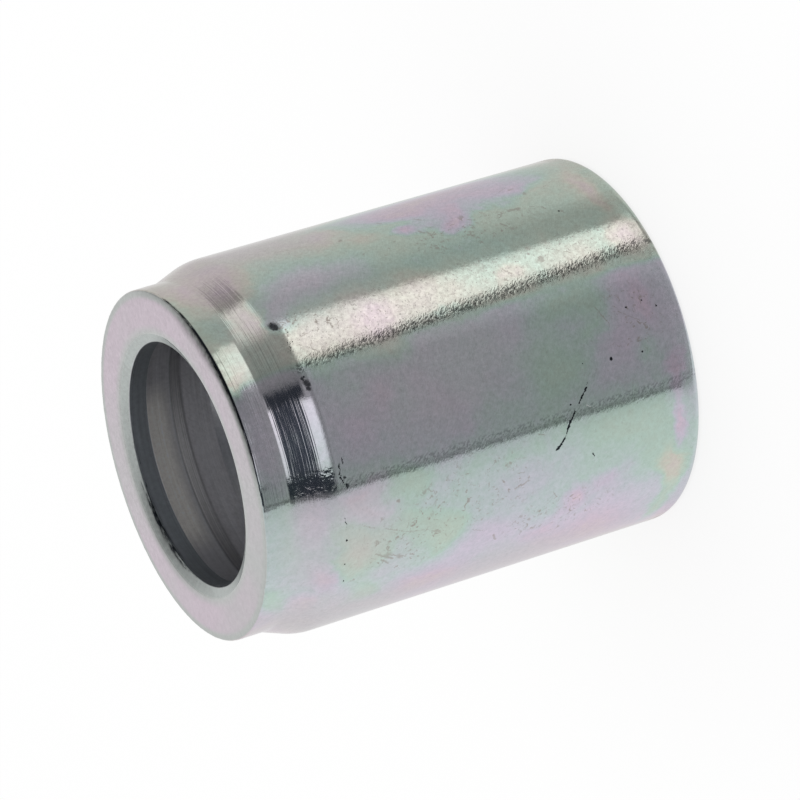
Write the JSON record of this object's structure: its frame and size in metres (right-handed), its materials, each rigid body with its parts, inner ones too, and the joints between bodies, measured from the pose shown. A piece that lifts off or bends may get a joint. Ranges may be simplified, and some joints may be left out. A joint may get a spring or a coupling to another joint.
{
  "type": "crimp hose ferrule",
  "caption": "Turned steel sleeve with a necked collar, an inner lip and a grooved bore, crimped round a hydraulic hose and its insert.",
  "frame": {"origin": "centre of the hose mouth's end face, on which the ferrule stands", "axes": "+Z along the bore from the hose mouth to the collar; X and Y are alike, since the part is round"},
  "size_m": [0.038, 0.038, 0.0478],
  "materials": {
    "zinc_plate": "turned steel, bright zinc plated with pale iridescent passivation"
  },
  "bodies": {
    "root": {"ferrule": "zinc_plate"}
  },
  "joints": []
}
